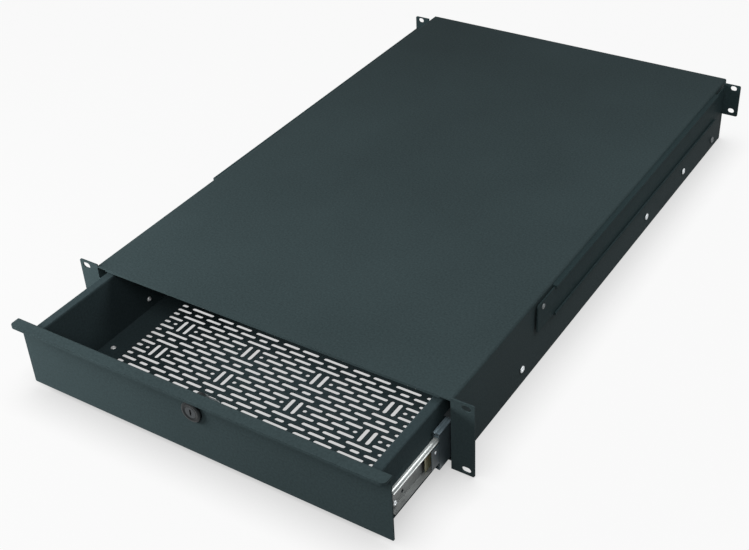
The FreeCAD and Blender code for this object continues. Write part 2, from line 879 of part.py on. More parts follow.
def wire(x0, y0, x1, y1, z):
    corners = [Vector(x0, y0, z), Vector(x1, y0, z), Vector(x1, y1, z), Vector(x0, y1, z)]
    return Part.makePolygon(corners + corners[:1])


def vent_slots():
    """Every slot of the field as (x0, y0, x1, y1)."""
    for number in range(ROW_COUNT):
        row = ROW_ORDER[number % len(ROW_ORDER)]
        y = FIRST_ROW + ROW_PITCH * number
        for column in PAIR_COLUMNS:
            for start, end in ROWS[row]:
                x0 = max(column + start, FIELD_LEFT)
                x1 = min(column + end, FIELD_RIGHT)
                if x1 - x0 > SHORTEST_SLOT:
                    yield x0, y - SLOT_WIDE / 2, x1, y + SLOT_WIDE / 2
            if row != "C":
                continue
            for x in (column - CROSS_AT, column + CROSS_AT):
                if FIELD_LEFT < x - CROSS_WIDE / 2 and x + CROSS_WIDE / 2 < FIELD_RIGHT:
                    yield (
                        x - CROSS_WIDE / 2, y - CROSS_LONG / 2,
                        x + CROSS_WIDE / 2, y + CROSS_LONG / 2,
                    )


low = sheet.get("tray_low") + sheet.get("tray_sheet")
thick = sheet.get("tray_sheet")
half_floor = sheet.get("tray_inside") / 2 - 0.2
outline = wire(
    -half_floor, tray_front_rear.value, half_floor, sheet.get("tray_rear") - thick, low
)
holes = [wire(*corners, low) for corners in vent_slots()]
hole_half = rivet_radius.value * math.cos(math.pi / 8)
holes += [
    wire(x - hole_half, y - hole_half, x + hole_half, y + hole_half, low)
    for x, y in floor_rivets_at
]
vented_floor = doc.addObject("Part::Feature", "vented_floor")
vented_floor.Label = "vented_floor"
plate = Part.makeFace([outline] + holes, "Part::FaceMakerBullseye")
vented_floor.Shape = plate.extrude(Vector(0, 0, thick))
place(vented_floor, DRAWER)

floor_rivets = new_body("floor_rivets", DRAWER)
pad(
    floor_rivets, "heads", "top", floor_top, 1.0,
    *[small_round(x, y, rivet_head) for x, y in floor_rivets_at],
)
pad(
    floor_rivets, "shanks", "top", d.tray_low, d.tray_sheet * 2,
    *[small_round(x, y, hole_half) for x, y in floor_rivets_at],
)

# Blind rivets through the inner wall of each hollow side.
wall_rivets = new_body("wall_rivets", DRAWER)
for side, sign in SIDES:
    near = half_inside - 1.1 if sign > 0 else -half_inside
    pad(
        wall_rivets, f"{side}_heads", "side", near, 1.1,
        *[small_round(y, z, rivet_head) for y, z in wall_rivets_at],
    )
    near = half_inside if sign > 0 else -half_inside - d.tray_sheet
    pad(
        wall_rivets, f"{side}_shanks", "side", near, d.tray_sheet,
        *[small_round(y, z, rivet_radius) for y, z in wall_rivets_at],
    )

side_fasteners(
    "drawer_slide_screws", DRAWER, half_tray + inner_sheet, Size(3.2), Size(1.6),
    half_tray - d.tray_sheet, inner_screws,
)

# --- Cam lock ------------------------------------------------------------------------

bore = d.lock_plug + 0.08
barrel_rear = Size(15.4)
lock_front = face_front - d.lock_proud
lock_body = new_body("lock_body", DRAWER, z=d.lock_height)
turn(
    lock_body, "barrel",
    (lock_front, bore), (lock_front, d.lock_bezel), (face_front, d.lock_bezel),
    (face_front, d.lock_barrel), (barrel_rear, d.lock_barrel), (barrel_rear, bore),
)

lock_nut = new_body("lock_nut", DRAWER, z=d.lock_height)
nut_bore = (d.lock_barrel + 0.05) / math.cos(math.pi / 12)
pad(
    lock_nut, "hexagon", "front", tray_front_rear, 4,
    regular_polygon(0, 0, d.lock_barrel + 3.4, 6), regular_polygon(0, 0, nut_bore, 12),
)

# The plug turns in the barrel, and a screw holds the cam on its end.
cam_front = barrel_rear + 0.4
cam_sheet = Size(2.0)
screw_hole = small_round(0, 0, screw_radius + 0.05)
plug = new_body("lock_plug", DRAWER, z=d.lock_height)
turn(
    plug, "plug",
    (lock_front + 0.3, 0), (lock_front + 0.3, d.lock_plug), (cam_front, d.lock_plug),
    (cam_front, 0),
)
cut(plug, "keyway", "front", lock_front, 7, rectangle(-1.1, -4.2, 1.1, 4.2))
cut(plug, "screw_hole", "front", cam_front - 6, 7, screw_hole)

cam = new_body("lock_cam", DRAWER, z=d.lock_height)
cam_half, cam_reach, cam_heel = Size(5), Size(19), Size(6.5)
pad(
    cam, "plate", "front", cam_front, cam_sheet,
    rectangle(-cam_heel, -cam_half, cam_reach, cam_half),
)
round_edges(
    cam, "tip", 4.0, runs_along(1, (cam_reach, -cam_half), (cam_reach, cam_half))
)
cut(cam, "screw_hole", "front", cam_front - 1, cam_sheet + 2, screw_hole)

cam_screw = new_body("cam_screw", DRAWER, z=d.lock_height)
pad(
    cam_screw, "head", "front", cam_front + cam_sheet, 2.6, regular_polygon(0, 0, 4.2, 6)
)
pad(
    cam_screw, "shank", "front", cam_front - 5, cam_sheet + 5, small_round(0, 0, screw_radius)
)

# --- Check and write -----------------------------------------------------------------

doc.recompute()
for item in doc.Objects:
    if "Invalid" in item.State or "Error" in item.State:
        raise RuntimeError(f"{item.Name} is {item.State}")
os.makedirs("parts", exist_ok=True)
for item in SUBPARTS:
    if item.Shape.isNull() or not item.Shape.isValid():
        raise RuntimeError(f"{item.Label} has no valid shape")
    item.Shape.exportStep(f"parts/{item.Label}.step")
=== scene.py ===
import math

import bmesh
import bpy
from mathutils import Matrix, Vector


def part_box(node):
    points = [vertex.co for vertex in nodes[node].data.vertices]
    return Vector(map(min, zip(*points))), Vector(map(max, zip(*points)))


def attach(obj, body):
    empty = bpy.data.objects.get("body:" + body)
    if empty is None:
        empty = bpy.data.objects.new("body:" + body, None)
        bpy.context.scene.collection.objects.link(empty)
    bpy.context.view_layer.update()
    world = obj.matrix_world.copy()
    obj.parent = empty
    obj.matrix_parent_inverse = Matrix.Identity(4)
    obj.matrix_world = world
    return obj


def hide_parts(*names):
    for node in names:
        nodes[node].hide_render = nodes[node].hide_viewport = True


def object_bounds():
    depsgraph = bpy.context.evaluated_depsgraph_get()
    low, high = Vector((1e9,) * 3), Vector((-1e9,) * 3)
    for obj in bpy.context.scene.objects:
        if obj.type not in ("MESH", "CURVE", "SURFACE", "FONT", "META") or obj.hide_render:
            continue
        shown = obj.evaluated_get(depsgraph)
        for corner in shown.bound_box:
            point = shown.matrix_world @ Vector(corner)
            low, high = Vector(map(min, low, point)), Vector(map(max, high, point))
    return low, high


# The drawer stands in its own frame: X across the rack, Y from front to rear, Z up, with
# the origin between the four front rack holes.  Everything below is in metres.
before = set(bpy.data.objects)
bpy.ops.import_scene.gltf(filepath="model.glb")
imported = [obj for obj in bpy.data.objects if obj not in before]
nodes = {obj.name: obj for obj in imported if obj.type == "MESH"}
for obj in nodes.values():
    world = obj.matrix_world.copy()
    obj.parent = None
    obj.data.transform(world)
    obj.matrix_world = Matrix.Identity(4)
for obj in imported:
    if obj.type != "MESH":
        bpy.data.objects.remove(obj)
cad_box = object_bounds()
MM = 0.001

# ---------------------------------------------------------------------------------------
# Camera: a product view from the front right, a little over a metre away and from above,
# turned slightly so that the drawer leans in the picture.
view_azimuth = math.radians(34.53)
view_elevation = math.radians(35.69)
view_roll = math.radians(3.32)
camera_place = (0.6430, -0.7294, 0.7913)
lens = bpy.data.cameras.new("camera")
lens.sensor_width = 36.0
lens.lens = 59.58
camera = bpy.data.objects.new("camera", lens)
bpy.context.scene.collection.objects.link(camera)
camera.matrix_world = (
    Matrix.Translation(camera_place)
    @ Matrix.Rotation(view_azimuth, 4, "Z")
    @ Matrix.Rotation(math.pi / 2 - view_elevation, 4, "X")
    @ Matrix.Rotation(-view_roll, 4, "Z")
)
bpy.context.scene.camera = camera
bpy.context.scene.view_settings.view_transform = "Standard"

# ---------------------------------------------------------------------------------------
# Studio: a white room with a pale floor under the enclosure.  Three soft lamps light it: a
# low one beyond the front left corner, a high one in front and one over the right side.
fill_light = 0.12
floor_white = 0.94
floor_shade_reach = 50 * MM


def white_to_the_eye(tree, share):
    """A share of white where the camera, metal or glass looks, and none for the light."""
    rays = tree.nodes.new("ShaderNodeLightPath")
    metal = tree.nodes.new("ShaderNodeMath")
    glass = tree.nodes.new("ShaderNodeMath")
    metal.operation = glass.operation = "MAXIMUM"
    part = tree.nodes.new("ShaderNodeMath")
    part.operation = "MULTIPLY"
    part.inputs[1].default_value = share
    tree.links.new(rays.outputs["Is Camera Ray"], metal.inputs[0])
    tree.links.new(rays.outputs["Is Glossy Ray"], metal.inputs[1])
    tree.links.new(metal.outputs[0], glass.inputs[0])
    tree.links.new(rays.outputs["Is Transmission Ray"], glass.inputs[1])
    tree.links.new(glass.outputs[0], part.inputs[0])
    return part.outputs[0]


world = bpy.data.worlds.new("studio")
bpy.context.scene.world = world
world.use_nodes = True
tree = world.node_tree
tree.nodes.clear()
fill = tree.nodes.new("ShaderNodeBackground")
fill.inputs["Color"].default_value = (0.95, 0.98, 1.0, 1)
fill.inputs["Strength"].default_value = fill_light
backdrop = tree.nodes.new("ShaderNodeBackground")
backdrop.inputs["Color"].default_value = (1, 1, 1, 1)
backdrop.inputs["Strength"].default_value = 1.0
either = tree.nodes.new("ShaderNodeMixShader")
output = tree.nodes.new("ShaderNodeOutputWorld")
tree.links.new(white_to_the_eye(tree, 1.0), either.inputs[0])
tree.links.new(fill.outputs[0], either.inputs[1])
tree.links.new(backdrop.outputs[0], either.inputs[2])
tree.links.new(either.outputs[0], output.inputs[0])


def lamp(name, place, aim, size, watts):
    """A square soft lamp at a place, turned towards a point of the drawer."""
    data = bpy.data.lights.new(name, "AREA")
    data.shape = "SQUARE"
    data.size = size
    data.energy = watts
    fixture = bpy.data.objects.new(name, data)
    fixture.location = place
    fixture.rotation_euler = (Vector(aim) - Vector(place)).to_track_quat("-Z", "Y").to_euler()
    bpy.context.scene.collection.objects.link(fixture)


lamp("front_lamp", (0.4, -0.9, 1.2), (0, 0.1, 0), 0.8, 12)
lamp("left_lamp", (-0.8, -0.38, 0.28), (-0.1, 0, 0), 0.4, 16.5)
lamp("right_lamp", (0.64, 0.46, 0.78), (0.2, 0.4, 0), 0.6, 4.6)

# To the eye the floor is nearly white and darkens softly close to the enclosure.  To the
# light it is a grey sheet, so that it doesn't throw white back up.
floor_under = cad_box[0].z - 0.2 * MM
bpy.ops.mesh.primitive_plane_add(size=30, location=(0, 0.3, floor_under))
ground = bpy.context.object
ground.name = "ground"
ground_paint = bpy.data.materials.new("ground_paint")
ground_paint.use_nodes = True
tree = ground_paint.node_tree
tree.nodes.clear()
matt = tree.nodes.new("ShaderNodeBsdfDiffuse")
matt.inputs["Color"].default_value = (0.2, 0.2, 0.2, 1)
glow = tree.nodes.new("ShaderNodeEmission")
glow.inputs["Color"].default_value = (1, 1, 1, 1)
nearness = tree.nodes.new("ShaderNodeAmbientOcclusion")
nearness.samples = 16
nearness.inputs["Distance"].default_value = floor_shade_reach
shade = tree.nodes.new("ShaderNodeMapRange")
shade.inputs["To Min"].default_value = 0.5
shade.inputs["To Max"].default_value = 1.0
tree.links.new(nearness.outputs["AO"], shade.inputs["Value"])
tree.links.new(shade.outputs["Result"], glow.inputs["Strength"])
either = tree.nodes.new("ShaderNodeMixShader")
output = tree.nodes.new("ShaderNodeOutputMaterial")
tree.links.new(white_to_the_eye(tree, floor_white), either.inputs[0])
tree.links.new(matt.outputs[0], either.inputs[1])
tree.links.new(glow.outputs[0], either.inputs[2])
tree.links.new(either.outputs[0], output.inputs[0])
ground.data.materials.append(ground_paint)


# ---------------------------------------------------------------------------------------
# Enclosure shell: the cover and both sides are one folded steel sheet with the front ears
# bent outwards and a hem under the cover's front edge.  It is powder coated in a cool
# black, with the fine orange peel of baked powder, and its eased edges carry a painted
# highlight in a lighter coat.
def powder_coat(name, colour, gloss, peel_size=1.1 * MM):
    """Baked powder paint: a fine orange peel, a cloudy sheen and slightly uneven colour."""
    paint = bpy.data.materials.new(name)
    paint.use_nodes = True
    tree = paint.node_tree
    shader = tree.nodes["Principled BSDF"]
    shader.inputs["Specular IOR Level"].default_value = 0.006
    place = tree.nodes.new("ShaderNodeTexCoord")
    cloud = tree.nodes.new("ShaderNodeTexNoise")
    cloud.inputs["Scale"].default_value = 7.0
    cloud.inputs["Detail"].default_value = 5.0
    grain = tree.nodes.new("ShaderNodeTexNoise")
    grain.inputs["Scale"].default_value = 0.45 / MM
    grain.inputs["Detail"].default_value = 3.0
    blend = tree.nodes.new("ShaderNodeMix")
    blend.inputs["Factor"].default_value = 0.65
    tint = tree.nodes.new("ShaderNodeValToRGB")
    tint.color_ramp.elements[0].position = 0.3
    tint.color_ramp.elements[0].color = [0.8 * part for part in colour] + [1]
    tint.color_ramp.elements[1].position = 0.7
    tint.color_ramp.elements[1].color = [1.2 * part for part in colour] + [1]
    sheen = tree.nodes.new("ShaderNodeMapRange")
    sheen.inputs["To Min"].default_value = gloss - 0.05
    sheen.inputs["To Max"].default_value = gloss + 0.05
    peel = tree.nodes.new("ShaderNodeTexNoise")
    peel.inputs["Scale"].default_value = 1 / peel_size
    peel.inputs["Detail"].default_value = 2.0
    bump = tree.nodes.new("ShaderNodeBump")
    bump.inputs["Strength"].default_value = 0.6
    bump.inputs["Distance"].default_value = 0.22 * MM
    link = tree.links.new
    for texture in (cloud, grain, peel):
        link(place.outputs["Object"], texture.inputs["Vector"])
    link(cloud.outputs["Fac"], blend.inputs["A"])
    link(grain.outputs["Fac"], blend.inputs["B"])
    link(blend.outputs["Result"], tint.inputs["Fac"])
    link(cloud.outputs["Fac"], sheen.inputs["Value"])
    link(peel.outputs["Fac"], bump.inputs["Height"])
    link(tint.outputs["Color"], shader.inputs["Base Color"])
    link(sheen.outputs["Result"], shader.inputs["Roughness"])
    link(bump.outputs["Normal"], shader.inputs["Normal"])
    return paint


def wear(material, *names):
    """Give CAD nodes a material in place of their plain one."""
    for name in names:
        nodes[name].data.materials.clear()
        nodes[name].data.materials.append(material)


def ease_edges(width, *names, highlight_coat=None):
    """Break the sharp edges of sheet and bar; where a lighter coat is given, it paints a
    highlight on the bevels.
    """
    for name in names:
        bevel = nodes[name].modifiers.new("eased_edges", "BEVEL")
        bevel.width = width
        bevel.segments = 2
        bevel.limit_method = "ANGLE"
        bevel.angle_limit = math.radians(60)
        if highlight_coat:
            nodes[name].data.materials.append(highlight_coat)
            bevel.material = 1


enclosure_coat = powder_coat("enclosure_coat", (0.0355, 0.052, 0.055), 0.42)
# A lighter coat for the bevels, which paints a highlight along the eased edges.
edge_highlight_coat = powder_coat("edge_highlight_coat", (0.10, 0.125, 0.13), 0.3)
wear(enclosure_coat, "enclosure_shell")
ease_edges(0.35 * MM, "enclosure_shell", highlight_coat=edge_highlight_coat)

# ---------------------------------------------------------------------------------------
# Rear panel and lock strike: a steel panel with two cable openings closes the back, held
# by its side flanges, and a folded strip under the cover catches the lock's cam.
wear(enclosure_coat, "rear_panel", "lock_strike")
# The eased edges carry the painted highlight here too.
ease_edges(0.25 * MM, "rear_panel", "lock_strike", highlight_coat=edge_highlight_coat)

# ---------------------------------------------------------------------------------------
# Rear brackets: a steel channel welded to each side holds a flat arm, which slides to the
# depth of the rack and carries the rear ear.  All are coated like the enclosure.
bracket_coat = powder_coat("bracket_coat", (0.026, 0.042, 0.045), 0.46)
for side in ("left", "right"):
    wear(bracket_coat, f"{side}_bracket_channel", f"{side}_rear_arm")
    # The eased edges carry the painted highlight here too.
    ease_edges(0.25 * MM, f"{side}_bracket_channel", f"{side}_rear_arm", highlight_coat=edge_highlight_coat)


# ---------------------------------------------------------------------------------------
# Slide members: three C sections a side, cold rolled from steel strip and zinc plated, so
# fine lines run along them.  Painted shade darkens the upright webs against the flanges,
# and on the drawer members also the lower flange, under the shade of the upper one; the
# outer members, deep in the enclosure, are painted dark as shade.
def zinc_plate(name, colour, gloss, along=(1, 1, 1), metal=0.7, upright_shade=1.0, shade_line=None):
    """Zinc plated steel: a cloudy plate over fine rolling lines, with painted shade that darkens
    upright faces and, below a given height, level faces too."""
    zinc = bpy.data.materials.new(name)
    zinc.use_nodes = True
    tree = zinc.node_tree
    shader = tree.nodes["Principled BSDF"]
    shader.inputs["Metallic"].default_value = metal
    place = tree.nodes.new("ShaderNodeTexCoord")
    stretch = tree.nodes.new("ShaderNodeMapping")
    stretch.inputs["Scale"].default_value = along
    lines = tree.nodes.new("ShaderNodeTexNoise")
    lines.inputs["Scale"].default_value = 1.2 / MM
    lines.inputs["Detail"].default_value = 3.0
    cloud = tree.nodes.new("ShaderNodeTexNoise")
    cloud.inputs["Scale"].default_value = 0.06 / MM
    cloud.inputs["Detail"].default_value = 4.0
    blend = tree.nodes.new("ShaderNodeMix")
    blend.inputs["Factor"].default_value = 0.45
    tint = tree.nodes.new("ShaderNodeValToRGB")
    tint.color_ramp.elements[0].position = 0.3
    tint.color_ramp.elements[0].color = [0.78 * part for part in colour] + [1]
    tint.color_ramp.elements[1].position = 0.7
    tint.color_ramp.elements[1].color = [min(1.0, 1.16 * part) for part in colour] + [1]
    sheen = tree.nodes.new("ShaderNodeMapRange")
    sheen.inputs["To Min"].default_value = gloss - 0.08
    sheen.inputs["To Max"].default_value = gloss + 0.1
    facing = tree.nodes.new("ShaderNodeNewGeometry")
    parts = tree.nodes.new("ShaderNodeSeparateXYZ")
    level = tree.nodes.new("ShaderNodeMath")
    level.operation = "ABSOLUTE"
    # Painted shade: the colour is darkened on upright faces, and on level faces below a given
    # height.
    facing_shade = tree.nodes.new("ShaderNodeMapRange")
    facing_shade.inputs["To Min"].default_value = upright_shade
    facing_shade.inputs["To Max"].default_value = 1.0
    shaded_tint = tree.nodes.new("ShaderNodeMix")
    shaded_tint.data_type = "RGBA"
    shaded_tint.blend_type = "MULTIPLY"
    shaded_tint.inputs["Factor"].default_value = 1.0
    bump = tree.nodes.new("ShaderNodeBump")
    bump.inputs["Strength"].default_value = 0.15
    bump.inputs["Distance"].default_value = 0.05 * MM
    link = tree.links.new
    if shade_line is not None:
        height = tree.nodes.new("ShaderNodeSeparateXYZ")
        lower_shade = tree.nodes.new("ShaderNodeMapRange")
        lower_shade.inputs["From Min"].default_value = shade_line - 2 * MM
        lower_shade.inputs["From Max"].default_value = shade_line + 2 * MM
        lower_shade.inputs["To Min"].default_value = 1.6 * upright_shade
        lower_shade.inputs["To Max"].default_value = 1.0
        link(place.outputs["Object"], height.inputs["Vector"])
        link(height.outputs["Z"], lower_shade.inputs["Value"])
        link(lower_shade.outputs["Result"], facing_shade.inputs["To Max"])
    link(facing.outputs["Normal"], parts.inputs["Vector"])
    link(parts.outputs["Z"], level.inputs[0])
    link(level.outputs[0], facing_shade.inputs["Value"])
    link(tint.outputs["Color"], shaded_tint.inputs["A"])
    link(facing_shade.outputs["Result"], shaded_tint.inputs["B"])
    link(place.outputs["Object"], stretch.inputs["Vector"])
    link(stretch.outputs["Vector"], lines.inputs["Vector"])
    link(place.outputs["Object"], cloud.inputs["Vector"])
    link(lines.outputs["Fac"], blend.inputs["A"])
    link(cloud.outputs["Fac"], blend.inputs["B"])
    link(blend.outputs["Result"], tint.inputs["Fac"])
    link(blend.outputs["Result"], sheen.inputs["Value"])
    link(lines.outputs["Fac"], bump.inputs["Height"])
    link(shaded_tint.outputs["Result"], shader.inputs["Base Color"])
    link(sheen.outputs["Result"], shader.inputs["Roughness"])
    link(bump.outputs["Normal"], shader.inputs["Normal"])
    return zinc


rolling = (1, 0.02, 1)
slide_low, slide_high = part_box("right_slide_inner")
slide_level = (slide_low.z + slide_high.z) / 2
rolled_zinc = zinc_plate(
    "rolled_zinc", (0.78, 0.82, 0.81), 0.34, rolling, 0.5, 0.22, shade_line=slide_level
)
blue_zinc = zinc_plate("blue_zinc", (0.22, 0.29, 0.33), 0.36, rolling, 0.5, 0.3)
# The outer members are painted dark, as the shade they sit in inside the enclosure.
shaded_zinc = zinc_plate("shaded_zinc", (0.07, 0.08, 0.085), 0.4, rolling, 0.5, 0.8)
for side in ("left", "right"):
    wear(rolled_zinc, f"{side}_slide_inner")
    wear(blue_zinc, f"{side}_slide_middle")
    wear(shaded_zinc, f"{side}_slide_outer")
    for member in ("inner", "middle", "outer"):
        ease_edges(0.15 * MM, f"{side}_slide_{member}")


# ---------------------------------------------------------------------------------------
# Slide noses: a moulded nylon plate on the front of each middle member, with rounded
# corners and a zinc rivet, that carries a paler bumper and a thin tongue for the drawer
# member to run past.
def solid(name, mesh, material, body):
    """A piece drawn in place, with its material and the body that it moves with."""
    piece = bpy.data.objects.new(name, mesh)
    bpy.context.scene.collection.objects.link(piece)
    mesh.materials.clear()
    mesh.materials.append(material)
    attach(piece, body)
    return piece


def rounded_block(low, high, radius):
    """A block between two corners with every edge rounded."""
    build = bmesh.new()
    bmesh.ops.create_cube(build, size=1.0)
    for vertex in build.verts:
        for axis in range(3):
            vertex.co[axis] = high[axis] if vertex.co[axis] > 0 else low[axis]
    bmesh.ops.bevel(
        build, geom=build.edges, offset=radius, segments=3, profile=0.5, affect="EDGES"
    )
    return build


def finish_mesh(name, build, smooth_angle=35):
    """Turn a bmesh into a mesh that is smooth over shallow angles only."""
    bmesh.ops.remove_doubles(build, verts=build.verts, dist=1e-7)
    bmesh.ops.recalc_face_normals(build, faces=build.faces)
    mesh = bpy.data.meshes.new(name)
    build.to_mesh(mesh)
    build.free()
    mesh.shade_smooth()
    mesh.set_sharp_from_angle(angle=math.radians(smooth_angle))
    return mesh


def turned(profile, flats=32):
    """A round form about Z from (radius, height) points, closed where it meets the axis."""
    build = bmesh.new()
    rings = []
    for radius, height in profile:
        if radius == 0:
            rings.append([build.verts.new((0, 0, height))])
            continue
        turns = [2 * math.pi * number / flats for number in range(flats)]
        rings.append(
            [build.verts.new((radius * math.cos(t), radius * math.sin(t), height)) for t in turns]
        )
    for lower, upper in zip(rings, rings[1:]):
        for number in range(flats):
            after = (number + 1) % flats
            corners = [lower[number % len(lower)], lower[after % len(lower)]]
            corners += [upper[after % len(upper)], upper[number % len(upper)]]
            build.faces.new(dict.fromkeys(corners))
    return build


def dome(radius, height, start=0.0, steps=7):
    """Points over a low dome, from the rim (height start) to its middle."""
    points = []
    for step in range(steps):
        angle = math.pi / 2 * step / steps
        points.append((radius * math.cos(angle), start + (height - start) * math.sin(angle)))
    return points + [(0, height)]


def stand(build, seat, direction):
    """Turn a form drawn about +Z to a direction and set it on a seat."""
    turn = Vector((0, 0, 1)).rotation_difference(Vector(direction)).to_matrix().to_4x4()
    bmesh.ops.transform(build, verts=build.verts, matrix=Matrix.Translation(seat) @ turn)
    return build


def nylon(name, colour):
    """Natural nylon: waxy, slightly see-through and mottled by the mould."""
    plastic = bpy.data.materials.new(name)
    plastic.use_nodes = True
    tree = plastic.node_tree
    shader = tree.nodes["Principled BSDF"]
    shader.inputs["Subsurface Weight"].default_value = 0.15
    shader.inputs["Subsurface Scale"].default_value = 1.0 * MM
    place = tree.nodes.new("ShaderNodeTexCoord")
    mottle = tree.nodes.new("ShaderNodeTexNoise")
    mottle.inputs["Scale"].default_value = 0.3 / MM
    mottle.inputs["Detail"].default_value = 3.0
    tint = tree.nodes.new("ShaderNodeValToRGB")
    tint.color_ramp.elements[0].color = [0.8 * part for part in colour] + [1]
    tint.color_ramp.elements[1].color = [min(1.0, 1.15 * part) for part in colour] + [1]
    sheen = tree.nodes.new("ShaderNodeMapRange")
    sheen.inputs["To Min"].default_value = 0.38
    sheen.inputs["To Max"].default_value = 0.55
    link = tree.links.new
    link(place.outputs["Object"], mottle.inputs["Vector"])
    link(mottle.outputs["Fac"], tint.inputs["Fac"])
    link(mottle.outputs["Fac"], sheen.inputs["Value"])
    link(tint.outputs["Color"], shader.inputs["Base Color"])
    link(sheen.outputs["Result"], shader.inputs["Roughness"])
    return plastic


nose_nylon = nylon("nose_nylon", (0.032, 0.046, 0.054))
tongue_nylon = nylon("tongue_nylon", (0.30, 0.28, 0.17))
bumper_nylon = nylon("bumper_nylon", (0.72, 0.80, 0.84))
bright_zinc = zinc_plate("bright_zinc", (0.78, 0.82, 0.84), 0.3, metal=0.6)
plate_thick, plate_round = 0.9 * MM, 0.4 * MM
plate_from_bottom, plate_from_top = 2 * MM, 3 * MM
tongue_out, tongue_thick, tongue_round = 3.0 * MM, 0.6 * MM, 0.25 * MM
tongue_reach, tongue_back, tongue_clear = 19 * MM, 0.5 * MM, 3 * MM
bumper_deep, bumper_low, bumper_high = 4 * MM, 12.5 * MM, 19.5 * MM
bumper_out, bumper_round = tongue_out + 0.2 * MM, 1.2 * MM
nose_rivet_radius, nose_rivet_proud, nose_rivet_drop = 1.7 * MM, 0.35 * MM, 8.5 * MM


def low_and_high(sign, near, reach):
    """The lower and upper X of a piece between two distances from the middle."""
    return min(sign * near, sign * reach), max(sign * near, sign * reach)


for side, sign in (("left", -1), ("right", 1)):
    low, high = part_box(f"{side}_slide_guide")
    tray_side = max(abs(corner.x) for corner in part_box(f"{side}_tray_side"))
    far = max(abs(low.x), abs(high.x))
    x0, x1 = low_and_high(sign, far - plate_thick, far)
    plate = rounded_block(
        (x0, low.y, low.z + plate_from_bottom),
        (x1, high.y, high.z - plate_from_top),
        plate_round,
    )
    piece = solid(
        f"{side}_nose_plate", finish_mesh("nose_plate", plate), nose_nylon, f"{side}_middle"
    )
    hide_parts(f"{side}_slide_guide")
    rivet = turned(
        [(0, -nose_rivet_proud), (nose_rivet_radius, -nose_rivet_proud)]
        + dome(nose_rivet_radius, nose_rivet_proud)
    )
    seat = Vector((sign * far, (low.y + high.y) / 2, high.z - nose_rivet_drop))
    stand(rivet, seat, (sign, 0, 0))
    piece = solid(
        f"{side}_nose_rivet", finish_mesh("nose_rivet", rivet), bright_zinc, f"{side}_middle"
    )
    x0, x1 = low_and_high(sign, tray_side + bumper_out, far - plate_thick)
    bumper = rounded_block(
        (x0, high.y - bumper_deep, low.z + bumper_low),
        (x1, high.y, low.z + bumper_high),
        bumper_round,
    )
    piece = solid(
        f"{side}_nose_bumper", finish_mesh("nose_bumper", bumper), bumper_nylon, f"{side}_middle"
    )
    x0, x1 = low_and_high(sign, tray_side + tongue_out, tray_side + tongue_out + tongue_thick)
    tongue = rounded_block(
        (x0, high.y - tongue_reach, low.z + tongue_clear),
        (x1, high.y - tongue_back, high.z - 2 * tongue_clear),
        tongue_round,
    )
    piece = solid(
        f"{side}_nose_tongue", finish_mesh("nose_tongue", tongue), tongue_nylon, f"{side}_middle"
    )

# ---------------------------------------------------------------------------------------
# Balls and retainers: hardened steel balls run in rows above and below, held a little
# apart by a thin spring-steel strip with a round pocket for each.
balls_in_row = 15
ball_radius = 2.38 * MM
pocket_radius = 2.6 * MM
retainer_thick = 0.8 * MM


def punched_sheet(name, outline, holes, thick):
    """Sheet from a flat outline with holes, each a loop of (x, y); its underside is z 0."""
    flat = bpy.data.curves.new(name, "CURVE")
    flat.dimensions = "2D"
    flat.fill_mode = "BOTH"
    flat.extrude = thick / 2
    for loop in [outline] + holes:
        spline = flat.splines.new("POLY")
        spline.points.add(len(loop) - 1)
        for point, (x, y) in zip(spline.points, loop):
            point.co = (x, y, 0, 1)
        spline.use_cyclic_u = True
    drawn = bpy.data.objects.new(name, flat)
    mesh = bpy.data.meshes.new_from_object(drawn)
    bpy.data.objects.remove(drawn)
    bpy.data.curves.remove(flat)
    build = bmesh.new()
    build.from_mesh(mesh)
    bpy.data.meshes.remove(mesh)
    bmesh.ops.translate(build, verts=build.verts, vec=(0, 0, thick / 2))
    return build


def round_slot(x0, y0, x1, y1, steps=4):
    """Outline of a slot with round ends that lies in a box, along its longer side."""
    radius = min(x1 - x0, y1 - y0) / 2
    lies_along_x = (x1 - x0) >= (y1 - y0)
    ends = (
        ((x1 - radius, (y0 + y1) / 2), (x0 + radius, (y0 + y1) / 2))
        if lies_along_x
        else (((x0 + x1) / 2, y1 - radius), ((x0 + x1) / 2, y0 + radius))
    )
    first = -math.pi / 2 if lies_along_x else 0.0
    points = []
    for end, (x, y) in enumerate(ends):
        for step in range(steps + 1):
            angle = first + math.pi * (end + step / steps)
            points.append((x + radius * math.cos(angle), y + radius * math.sin(angle)))
    return points


def copy_into(build, part, shift):
    """Add a copy of one bmesh to another, moved."""
    spare = bpy.data.meshes.new("spare")
    part.to_mesh(spare)
    before = len(build.verts)
    build.from_mesh(spare)
    bpy.data.meshes.remove(spare)
    build.verts.ensure_lookup_table()
    bmesh.ops.translate(build, verts=build.verts[before:], vec=shift)


